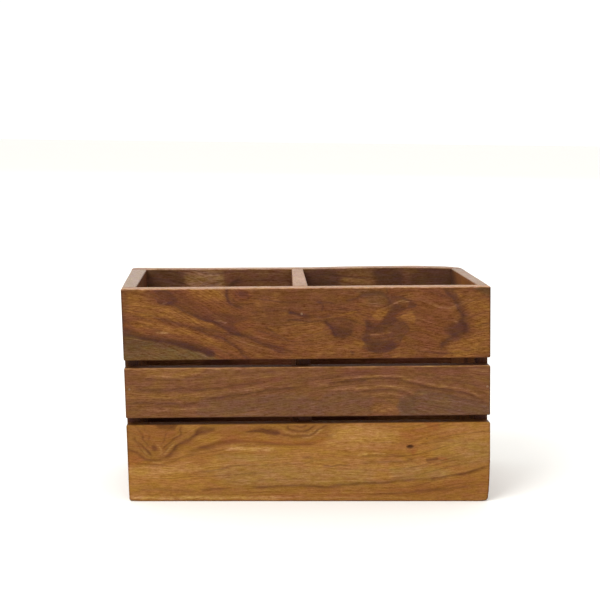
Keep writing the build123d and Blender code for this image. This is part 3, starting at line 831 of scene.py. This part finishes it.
def brad_pits(node):
    """The shallow pits over the brads that show on a board's outer face."""
    brads = node.rsplit("_", 1)[0] + "_brads"
    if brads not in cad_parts:
        return []
    heads, axis = brad_heads(brads)
    radius = (BRAD_PIT_RADIUS, BRAD_PIT_RADIUS)
    return [
        Pit(heads[i], axis, radius, BRAD_PIT_DEPTH)
        for i in SHOWN_BRADS.get(node, range(len(heads)))
    ]


def dented(points, pit, low, high):
    """Points of the outer face pushed into the wood where the pit is."""
    face = high[pit.axis] if pit.at[pit.axis] > 0 else low[pit.axis]
    others = [axis for axis in range(3) if axis != pit.axis]
    across = np.hypot(*((points[:, others] - np.array(pit.at)[others]) / pit.radius).T)
    bottom = face - np.sign(face) * pit.depth
    amount = smooth((PIT_EDGE[1] - across) / (PIT_EDGE[1] - PIT_EDGE[0]))
    amount *= np.abs(points[:, pit.axis] - face) < PIT_FACE
    points[:, pit.axis] += (bottom - points[:, pit.axis]) * amount
    return points


Board = namedtuple("Board", "node figure palette grain step")

RIM = 120.0  # boards taller than this have their upper edge in the rim of the box
# How pale the rim's tops are, as sanded wear and a painted sheen, and the upper arrises below the rim,
# as wear and a painted highlight
RIM_WEAR_AND_SHEEN = 0.95
ARRIS_WEAR_AND_HIGHLIGHT = 0.55
WEAR_AND_SHEEN_OF = {  # where it isn't one of those two
    "back_top_board": 0.6,
    "left_end_panel": 0.8,
    "right_end_panel": 0.65,
    "centre_divider": 0.66,
    "front_bottom_board": -0.2,
}

# Which axes of the box lie along the grain, across it on the face, and into the board
WALL_GRAIN = (0, 2, 1)
UPRIGHT_GRAIN = (2, 1, 0)
FLOOR_GRAIN = (0, 1, 2)


def covered(tone, amount):
    """A tone with more of it laid over."""
    return 1.0 - (1.0 - tone) * (1.0 - np.clip(amount, 0.0, 1.0))


PATCHES = (9.0, 3.0, 9.0)  # cells of the noise that makes the wear, the painted sheen and the darker edges patchy
RIM_PATCHY, ARRIS_PATCHY, EDGE_DARK_PATCHY = 0.25, 0.35, 0.25
EDGE_DARKNESS = 0.4  # darkness along the ends and the foot, the edges that aren't worn
LEDGE_SHADE = 0.8  # painted shade on the upper edges below the rim, behind their worn arris
UPRIGHT_EDGE_SHADE = 0.75  # painted shade on the uprights' front edges, below the rim
NARROW = 20.0  # uprights are narrower than this from left to right
FAR = 9.0  # mm, out of reach of all wear


def fading(distance, start, end):
    """1 up to the start of a fade, in mm from an edge, and 0 from its end."""
    return smooth((end - distance) / (end - start))


def wear_and_painted_light(tones, points, low, high, board):
    """Edges pale along the top, from sanded wear and from a painted sheen and highlight; painted shade
    on the upper edges below the rim and on the uprights' front edges; darker along the ends and the
    foot.
    """

    def lay(tone, amount):
        tones[:, tone] = covered(tones[:, tone], amount)

    rough = noise(points, PATCHES, board.figure.seed + 11)
    from_top = high[2] - points[:, 2]
    from_foot = points[:, 2] - low[2]
    from_end = np.minimum(points[:, 0] - low[0], high[0] - points[:, 0])
    from_face = np.minimum(points[:, 1] - low[1], high[1] - points[:, 1])
    if high[0] - low[0] < NARROW:
        from_end, from_face = np.full((2, len(points)), FAR)
        # painted shade on the front edge of an upright, below the rim
        front_edge_shade = fading(points[:, 1] - low[1], 0.2, 1.0) * (from_top > 3.0)
        lay(DARK, UPRIGHT_EDGE_SHADE * front_edge_shade)
    top = fading(from_top, 0.2, 0.6)
    if high[2] > RIM:
        # sanded wear and a painted sheen on the top of the rim
        lay(PALE, top * (WEAR_AND_SHEEN_OF.get(board.node, RIM_WEAR_AND_SHEEN) + RIM_PATCHY * rough))
    else:
        # wear and a painted highlight along the upper arris
        wear_and_highlight = WEAR_AND_SHEEN_OF.get(board.node, ARRIS_WEAR_AND_HIGHLIGHT) + ARRIS_PATCHY * rough
        lay(PALE, top * fading(from_face, 0.7, 1.3) * np.clip(wear_and_highlight, 0.0, 1.0))
        # painted shade on the upper face, in the gap under the board above
        lay(DARK, LEDGE_SHADE * top * (1.0 - fading(from_face, 0.8, 1.4)))
    darker_edges = np.maximum(fading(from_end, 0.5, 1.1), fading(from_foot, 0.2, 0.8))
    lay(DARK, darker_edges * (EDGE_DARKNESS + EDGE_DARK_PATCHY * rough) * (from_top > 0.5))
    return tones


def store(mesh, name, kind, field, values):
    made = mesh.attributes.new(name, kind, "POINT")
    made.data.foreach_set(field, np.ascontiguousarray(values, dtype=np.float32).ravel())


def quad_mesh(name, points, faces):
    """A smooth-shaded mesh of four-sided faces, from points in mm."""
    mesh = bpy.data.meshes.new(name)
    mesh.vertices.add(len(points))
    mesh.vertices.foreach_set("co", (points * MM).ravel())
    mesh.loops.add(faces.size)
    mesh.loops.foreach_set("vertex_index", faces.ravel())
    mesh.polygons.add(len(faces))
    mesh.polygons.foreach_set("loop_start", np.arange(0, faces.size, 4))
    mesh.polygons.foreach_set("use_smooth", np.ones(len(faces), bool))
    mesh.update()
    return mesh


def stand_in(mesh, material, node):
    """Put the mesh in the scene in place of a node, with the material given."""
    mesh.materials.append(material)
    piece = bpy.data.objects.new(mesh.name, mesh)
    bpy.context.scene.collection.objects.link(piece)
    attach(piece, "root")
    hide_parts(node)


# The front figures are drawn a little longer than the boards, and a board's edges are the
# first heights on the board and the second in the drawing
FIGURE_SPREAD = 1.0045
FIGURE_EDGES = (-2.0, 0.5, 45.3, 49.4, 76.3, 80.9, 123.0)
DRAWN_EDGES = (-2.5, 0.0, 45.0, 49.0, 76.5, 81.0, 123.1)

# The back's upper board has its figure, with its painted light and shade, on its inner face: how much
# of it shows on the outer one, and how deep in the board it starts to grow and is whole
OUTER_SHARE = 0.25
OUTER_DEPTH = (1.0, 6.0)


def board_places(board, points, low, high):
    """Each point's place along the grain, across it on the face, and in from the outer face."""
    along, across, into = board.grain
    outward = 1.0 if low[into] + high[into] > 0 else -1.0
    face = high[into] if outward > 0 else low[into]
    depth = (face - points[:, into]) * outward
    places = np.stack([points[:, along], points[:, across], depth], axis=1)
    if board.node.startswith("front"):
        places[:, 0] *= FIGURE_SPREAD
        places[:, 1] = np.interp(places[:, 1], FIGURE_EDGES, DRAWN_EDGES)
    return places


def board_piece(board, material):
    """A board as a dense, hand-eased mesh that carries its growth layers and tones."""
    low, high = (np.array(corner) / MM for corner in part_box(board.node))
    pits = brad_pits(board.node)
    if board.node == "front_bottom_board":
        pits.append(PIN_KNOT)
    lines = [
        mesh_lines(low[i], high[i], board.step, [pit.at[i] for pit in pits if pit.axis != i])
        for i in range(3)
    ]
    points, faces = skin(*lines)
    places = board_places(board, points, low, high)
    tones = painted(board.figure, places)
    if board.node == "back_top_board":
        start, whole = OUTER_DEPTH
        inner = smooth((places[:, 2:] - start) / (whole - start))
        tones *= OUTER_SHARE + (1.0 - OUTER_SHARE) * inner
    tones = wear_and_painted_light(tones, points, low, high, board)
    shaped = uneven(eased(points, low, high, board), low, high, board.figure.seed)
    for pit in pits:
        shaped = dented(shaped, pit, low, high)

    mesh = quad_mesh(board.node + "_wood", settled(shaped, board.node), faces)
    layered = places.copy()
    layered[:, 1] = growth_layers(board.figure, places)
    store(mesh, "grain", "FLOAT_VECTOR", "vector", layered)
    store(mesh, "place", "FLOAT_VECTOR", "vector", places)
    store(mesh, "tone", "FLOAT_COLOR", "color", tones[:, :PALE])
    store(mesh, "pale", "FLOAT", "value", tones[:, PALE])
    stand_in(mesh, material, board.node)


BRAD_SIDES = 24
BRAD_FILED = Wander(0.012, (0.4, 0.4, 0.4))
BRAD_SEED = 71
SAME_POINT = 0.001  # mm between points that are one

# Radius of a brad, and how far into the wood, from the middle of its filed head to its point
BRAD_PROFILE = [
    (0.0, 0.0), (0.3, 0.0), (0.55, 0.02), (0.68, 0.06), (0.74, 0.13), (0.75, 0.3), (0.72, 0.55),
    (0.62, 0.6), (0.5, 0.64), (0.5, 6.0), (0.5, 12.0), (0.5, 18.4), (0.3, 19.2), (0.0, 19.9),
]


def brad_piece(node, material):
    """The brads of one node: wire heads filed by hand, each on its own shank."""
    heads, axis = brad_heads(node)
    angles = np.arange(BRAD_SIDES) * 2 * math.pi / BRAD_SIDES
    rings = len(BRAD_PROFILE)
    points, faces = [], []
    for head in heads:
        inward = -np.sign(head[axis])
        start = len(points) * rings * BRAD_SIDES
        brad = np.zeros((rings, BRAD_SIDES, 3))
        for ring, (radius, depth) in zip(brad, BRAD_PROFILE):
            ring[:, 1 - axis] = head[1 - axis] + radius * np.cos(angles)
            ring[:, 2] = head[2] + radius * np.sin(angles)
            ring[:, axis] = head[axis] + inward * depth
        points.append(brad.reshape(-1, 3))
        number = start + np.arange(rings * BRAD_SIDES).reshape(rings, BRAD_SIDES)
        beside = np.roll(number, -1, axis=1)
        quads = np.stack([number[:-1], beside[:-1], beside[1:], number[1:]], -1).reshape(-1, 4)
        faces.append(quads if (inward > 0) == (axis == 0) else quads[:, ::-1])
    points = np.vstack(points)
    points += wandering(points, BRAD_FILED, BRAD_SEED)[:, None]
    mesh = quad_mesh(node + "_steel", settled(points, node), np.vstack(faces))
    shape = bmesh.new()
    shape.from_mesh(mesh)
    bmesh.ops.remove_doubles(shape, verts=shape.verts, dist=SAME_POINT * MM)
    bmesh.ops.recalc_face_normals(shape, faces=shape.faces)
    shape.to_mesh(mesh)
    shape.free()
    stand_in(mesh, material, node)


# ---------------------------------------------------------------- materials


def linear(red, green, blue):
    """A colour written in 0 to 255 sRGB display values, as the shader wants it."""
    channels = [value / 255 for value in (red, green, blue)]
    return [c / 12.92 if c < 0.04045 else ((c + 0.055) / 1.055) ** 2.4 for c in channels] + [1.0]


# A noise texture: the attribute that it follows, its cells for each mm along the grain, across
# it and into the board, and where in the noise it starts
TEXTURE_FIELDS = "follows scale start detail roughness distortion"
Texture = namedtuple("Texture", TEXTURE_FIELDS, defaults=(2.0, 0.5, 0.0))

# Those that bend with the growth layers
WIDE_LINES = Texture("grain", (0.012, 0.16, 0.16), 1.0, 3.0, 0.6)
LAYER_LINES = Texture("grain", (0.010, 0.62, 0.3), 7.0, 3.0, 0.62, 0.25)
CLOUDS = Texture("grain", (0.09, 0.16, 0.16), 5.0, 3.0, 0.6)
FIBRES = Texture("grain", (0.07, 1.3, 1.3), 3.0, 3.0, 0.65)

# Those that lie straight along the board
DASHES = Texture("place", (0.27, 1.6, 1.6), 9.0, 2.0, 0.6)
GRIT = Texture("place", (0.95, 2.3, 2.3), 4.0, 1.0)
HAIRS = Texture("place", (0.2, 6.5, 6.5), 2.0, 2.0, 0.6)
PORES = Texture("place", (0.34, 5.2, 5.2), 6.0, 1.0)
FLECKS = Texture("place", (0.3, 2.2, 2.2), 12.0, 1.0)
TINTS = Texture("place", (0.1, 0.24, 0.24), 8.0, 2.0, 0.6)


class Nodes:
    """A material's node tree, with short calls for the nodes that the wood is made of."""

    def __init__(self, name):
        self.material = bpy.data.materials.new(name)
        self.material.use_nodes = True
        self.tree = self.material.node_tree
        self.shader = self.tree.nodes["Principled BSDF"]

    def put(self, socket, value):
        if isinstance(value, bpy.types.NodeSocket):
            self.tree.links.new(value, socket)
        else:
            socket.default_value = value

    def node(self, kind, inputs, **settings):
        made = self.tree.nodes.new("ShaderNode" + kind)
        for key, value in settings.items():
            setattr(made, key, value)
        for key, value in inputs.items():
            self.put(made.inputs[key], value)
        return made

    def math(self, operation, *values, clamp=False):
        inputs = dict(enumerate(values))
        return self.node("Math", inputs, operation=operation, use_clamp=clamp).outputs[0]

    def attribute(self, name, output):
        return self.node("Attribute", {}, attribute_name=name).outputs[output]

    def texture(self, texture):
        inputs = {
            "Vector": self.attribute(texture.follows, "Vector"),
            "Scale": texture.scale,
            "Location": [axis * texture.start for axis in (1.0, 2.0, 3.0)],
        }
        moved = self.node("Mapping", inputs)
        inputs = {
            "Vector": moved.outputs[0],
            "Scale": 1.0,
            "Detail": texture.detail,
            "Roughness": texture.roughness,
            "Distortion": texture.distortion,
        }
        return self.node("TexNoise", inputs).outputs["Fac"]

    def between(self, value, low, high, to_low=0.0, to_high=1.0):
        """Value carried smoothly from the range low..high to to_low..to_high."""
        inputs = {0: value, 1: low, 2: high, 3: to_low, 4: to_high}
        return self.node("MapRange", inputs, interpolation_type="SMOOTHSTEP").outputs[0]

    def blend(self, factor, first, second):
        made = self.node("Mix", {0: factor, 6: first, 7: second}, data_type="RGBA")
        return made.outputs[2]

    def times(self, first, second):
        made = self.node("VectorMath", {0: first, 1: second}, operation="MULTIPLY")
        return made.outputs[0]


Palette = namedtuple("Palette", "base dark gold red olive pale")

# Colours as they look on the lit front of the box
PALETTES = {
    "top": Palette(
        (118, 74, 37), (71, 42, 33), (152, 102, 43), (120, 69, 36), (104, 80, 44), (186, 138, 92)
    ),
    "middle": Palette(
        (123, 82, 45), (80, 48, 30), (148, 102, 50), (120, 72, 44), (110, 80, 56), (174, 126, 76)
    ),
    "bottom": Palette(
        (160, 112, 49), (92, 52, 26), (178, 128, 56), (152, 90, 40), (144, 112, 56), (206, 158, 90)
    ),
    # the back's lower boards, seen through the gaps: darker and redder, partly their own colour and
    # partly painted shade of the inside of the box
    "back_low_shaded": Palette(
        (116, 69, 41), (76, 43, 29), (146, 96, 50), (114, 63, 38), (104, 72, 47), (174, 126, 86)
    ),
    "back": Palette(
        (130, 88, 55), (82, 55, 42), (164, 117, 60), (128, 82, 52), (112, 88, 54), (190, 148, 108)
    ),
    "end": Palette(
        (122, 78, 46), (70, 42, 32), (158, 100, 46), (124, 68, 38), (106, 84, 56), (172, 146, 114)
    ),
    "divider": Palette(
        (122, 78, 48), (74, 44, 34), (156, 106, 56), (124, 72, 44), (106, 82, 54), (192, 150, 108)
    ),
}

# The wood itself, against its colour in that light: first in the dark fibres, then in the pale
DARK_FIBRE = (0.42, 0.31, 0.14, 1.0)
PALE_FIBRE = (0.98, 1.07, 1.45, 1.0)

# Slow drifts of the wood's hue, which both leave its brightness alone
RUDDY = (1.02, 0.975, 1.18, 1.0)
STRAW = (0.98, 1.02, 0.82, 1.0)

# How strongly the fibres of each kind of wood stand out
CONTRAST = {"top": 1.25, "bottom": 0.82}

# How strongly each painted tone is broken up, in the order that they are laid
BROKEN_UP = {"olive": 1.0, "red": 1.2, "gold": 1.4}
BROKEN_DARK = 1.3
BROKEN_PALE = 1.6

PORE_SHADE = -0.25
FLECK_LIGHT = 0.3
PORE_ROUGHNESS = 0.2
PORE_DEPTH = -0.8
HAIR_HEIGHT = 0.6
OILED_IOR = 1.13  # little gloss, as oiled wood has
WOOD_BUMP = 0.6
WOOD_RELIEF = 0.06  # mm


def wood_colour(n, palette, ragged):
    """The wood's colour from its tones and growth lines, before fibres and pores."""
    base = linear(*palette.base)
    wood = {name: linear(*getattr(palette, name)) for name in Palette._fields}
    tone = n.node("SeparateColor", {"Color": n.attribute("tone", "Color")})
    masks = {name: tone.outputs[i] for i, name in enumerate(("dark", "gold", "red"))}
    masks["olive"] = n.attribute("tone", "Alpha")
    masks["pale"] = n.attribute("pale", "Fac")

    def painted_over(colour, name, push):
        """A painted tone, broken up by the fibres so that it has no clean edge."""
        uneven_by = n.math("MULTIPLY_ADD", ragged, push, 1.0)
        mask = n.math("MULTIPLY", masks[name], uneven_by, clamp=True)
        return n.blend(mask, colour, wood[name])

    layer = n.texture(LAYER_LINES)
    colour = n.blend(n.between(n.texture(WIDE_LINES), 0.3, 0.7, 0.0, 0.4), base, wood["red"])
    colour = n.blend(n.between(n.texture(CLOUDS), 0.48, 0.74, 0.0, 0.4), colour, wood["gold"])
    for name, push in BROKEN_UP.items():
        colour = painted_over(colour, name, push)
    colour = n.blend(n.between(layer, 0.54, 0.70, 0.0, 0.4), colour, wood["dark"])
    colour = n.blend(n.between(layer, 0.40, 0.28, 0.0, 0.24), colour, wood["pale"])
    colour = painted_over(colour, "dark", BROKEN_DARK)
    return painted_over(colour, "pale", BROKEN_PALE)


def wood_material(name, palette, contrast):
    """Oiled hardwood: growth lines, fibres, pores and flecks that follow the board's grain."""
    n = Nodes(name)
    fibre, dash, grit, hair = (n.texture(kind) for kind in (FIBRES, DASHES, GRIT, HAIRS))
    pore = n.between(n.texture(PORES), 0.62, 0.74)
    fleck = n.between(n.texture(FLECKS), 0.64, 0.78)

    ragged = n.between(fibre, 0.25, 0.75, -0.2, 0.2)
    ragged = n.math("ADD", ragged, n.between(dash, 0.3, 0.7, -0.15, 0.15))
    fine = n.between(fibre, 0.3, 0.7, 0.0, 0.34)
    fine = n.math("ADD", fine, n.between(dash, 0.3, 0.7, 0.0, 0.42))
    fine = n.math("ADD", fine, n.between(grit, 0.3, 0.7, 0.0, 0.24))
    fine = n.math("MULTIPLY_ADD", pore, PORE_SHADE, fine)
    fine = n.math("MULTIPLY_ADD", fleck, FLECK_LIGHT, fine)
    fine = n.math("MULTIPLY_ADD", fine, contrast, 0.5 - 0.5 * contrast)
    colour = wood_colour(n, palette, ragged)
    colour = n.times(colour, n.blend(fine, DARK_FIBRE, PALE_FIBRE))
    colour = n.times(colour, n.blend(n.between(n.texture(TINTS), 0.32, 0.68), RUDDY, STRAW))
    n.put(n.shader.inputs["Base Color"], colour)

    rough = n.between(fibre, 0.2, 0.8, 0.34, 0.46)
    rough = n.math("MULTIPLY_ADD", pore, PORE_ROUGHNESS, rough)
    n.put(n.shader.inputs["Roughness"], rough)
    n.put(n.shader.inputs["IOR"], OILED_IOR)
    height = n.math("MULTIPLY_ADD", hair, HAIR_HEIGHT, dash)
    height = n.math("MULTIPLY_ADD", pore, PORE_DEPTH, height)
    inputs = {"Strength": WOOD_BUMP, "Distance": WOOD_RELIEF * MM, "Height": height}
    n.put(n.shader.inputs["Normal"], n.node("Bump", inputs).outputs[0])
    return n.material


STEEL_DULL = (98, 70, 48)
STEEL_BRIGHT = (140, 104, 74)
STEEL_METALLIC = 0.5
STEEL_SPECKLES = 2600.0  # for each metre
STEEL_BUMP = 0.5
STEEL_RELIEF = 0.03  # mm


def brad_material():
    """Wire heads filed flush with the wood and dulled by its oil."""
    n = Nodes("brad_steel")
    place = n.node("NewGeometry", {}).outputs["Position"]
    inputs = {"Vector": place, "Scale": STEEL_SPECKLES, "Detail": 3.0}
    speckle = n.node("TexNoise", inputs).outputs["Fac"]
    bright = n.between(speckle, 0.35, 0.65)
    metal = n.blend(bright, linear(*STEEL_DULL), linear(*STEEL_BRIGHT))
    n.put(n.shader.inputs["Base Color"], metal)
    n.put(n.shader.inputs["Metallic"], STEEL_METALLIC)
    n.put(n.shader.inputs["Roughness"], n.between(speckle, 0.3, 0.7, 0.3, 0.55))
    inputs = {"Strength": STEEL_BUMP, "Distance": STEEL_RELIEF * MM, "Height": speckle}
    n.put(n.shader.inputs["Normal"], n.node("Bump", inputs).outputs[0])
    return n.material


# ---------------------------------------------------------------- the boards

FRONT_STEP = 0.56  # mm between mesh lines on the boards that the photograph shows
PLAIN_STEP = 1.3

wood = {
    name: wood_material("wood_" + name, palette, CONTRAST.get(name, 1.0))
    for name, palette in PALETTES.items()
}


def unseen(node, palette, grain, seed):
    """A board that the photograph doesn't show, with a figure of its own."""
    low, high = (np.array(corner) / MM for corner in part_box(node))
    along, across, _ = grain
    figure = free_figure(seed, (low[along], low[across]), (high[along], high[across]))
    return Board(node, figure, palette, grain, PLAIN_STEP)


# Painted light on the inner face of the right end, under the rim towards the front, and painted shade
# towards its back corner
right_end_lit_and_shaded = unseen("right_end_panel", "end", UPRIGHT_GRAIN, 59)
right_end_lit_and_shaded.figure.areas.extend(
    [
        # painted light towards the front
        Area(GOLD, [(98, -48), (126, -48), (126, 36), (112, 20), (104, -6)], 8.0, 0.7),
        Area(PALE, [(98, -48), (112, -48), (112, -6)], 8.0, 0.14),
        # painted shade towards the back corner
        Area(OLIVE, [(96, 14), (126, 20), (126, 48), (96, 48)], 8.0, 0.6),
        Area(DARK, [(98, 22), (126, 28), (126, 48), (98, 48)], 6.0, 0.4),
    ]
)

BOARDS = [
    Board("front_top_board", FRONT_TOP, "top", WALL_GRAIN, FRONT_STEP),
    Board("front_middle_board", FRONT_MIDDLE, "middle", WALL_GRAIN, FRONT_STEP),
    Board("front_bottom_board", FRONT_BOTTOM, "bottom", WALL_GRAIN, FRONT_STEP),
    Board("back_top_board", BACK_TOP, "back", WALL_GRAIN, PLAIN_STEP),
    unseen("back_middle_board", "back_low_shaded", WALL_GRAIN, 51),
    unseen("back_bottom_board", "back_low_shaded", WALL_GRAIN, 53),
    unseen("left_end_panel", "end", UPRIGHT_GRAIN, 57),
    right_end_lit_and_shaded,
    unseen("centre_divider", "divider", UPRIGHT_GRAIN, 61),
    unseen("floor_board", "middle", FLOOR_GRAIN, 67),
]
for board in BOARDS:
    board_piece(board, wood[board.palette])

steel = brad_material()
for node in sorted(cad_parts):
    if node.endswith("_brads"):
        brad_piece(node, steel)

# ---------------------------------------------------------------- stage, light and camera

FLOOR_HALF = 6.0  # metres
FLOOR_LOOKS = {"Base Color": (0.95, 0.94, 0.905, 1.0), "Roughness": 0.9, "Specular IOR Level": 0.1}
ROOM_LIGHT = {"Color": (1.0, 0.997, 0.985, 1.0), "Strength": 1.055}

corners = [(-FLOOR_HALF, -FLOOR_HALF, 0), (FLOOR_HALF, -FLOOR_HALF, 0)]
corners += [(FLOOR_HALF, FLOOR_HALF, 0), (-FLOOR_HALF, FLOOR_HALF, 0)]
floor_mesh = bpy.data.meshes.new("floor")
floor_mesh.from_pydata(corners, [], [(0, 1, 2, 3)])
floor = bpy.data.objects.new("floor", floor_mesh)
bpy.context.scene.collection.objects.link(floor)
paper = Nodes("pale_floor")
for socket, value in FLOOR_LOOKS.items():
    paper.put(paper.shader.inputs[socket], value)
floor_mesh.materials.append(paper.material)

world = bpy.data.worlds.new("studio")
bpy.context.scene.world = world
world.use_nodes = True
for socket, value in ROOM_LIGHT.items():
    world.node_tree.nodes["Background"].inputs[socket].default_value = value


def soft_box(name, place, aim, size, power):
    """A square studio light turned towards a point."""
    light = bpy.data.lights.new(name, "AREA")
    light.size = size
    light.energy = power
    lamp = bpy.data.objects.new(name, light)
    lamp.location = place
    lamp.rotation_euler = (Vector(aim) - Vector(place)).to_track_quat("-Z", "Y").to_euler()
    bpy.context.scene.collection.objects.link(lamp)


soft_box("key", place=(-0.95, -0.95, 1.35), aim=(0, 0, 0.05), size=0.9, power=18.0)
soft_box("behind", place=(0.1, 2.4, 1.5), aim=(0, 0, 0.1), size=1.8, power=12.0)

CAMERA_AT = (-0.03751, -0.74744, 0.22324)
CAMERA_TURN, CAMERA_DIP, CAMERA_ROLL = 0.04527, 0.15345, 0.01378  # radians
CAMERA_LENS = 77.995  # mm, on a sensor as wide as the next
CAMERA_SENSOR = 36.0

level = Vector((math.sin(CAMERA_TURN), math.cos(CAMERA_TURN), 0.0))
ahead = level * math.cos(CAMERA_DIP) - Vector((0.0, 0.0, math.sin(CAMERA_DIP)))
right = Vector((math.cos(CAMERA_TURN), -math.sin(CAMERA_TURN), 0.0))
up = right.cross(ahead)
turned_right = right * math.cos(CAMERA_ROLL) + up * math.sin(CAMERA_ROLL)
turned_up = up * math.cos(CAMERA_ROLL) - right * math.sin(CAMERA_ROLL)
camera = bpy.data.objects.new("camera", bpy.data.cameras.new("camera"))
turn = Matrix((turned_right, turned_up, -ahead)).transposed().to_4x4()
camera.matrix_world = Matrix.Translation(CAMERA_AT) @ turn
camera.data.lens = CAMERA_LENS
camera.data.sensor_width = CAMERA_SENSOR
bpy.context.scene.collection.objects.link(camera)
bpy.context.scene.camera = camera
bpy.context.scene.view_settings.view_transform = "Standard"
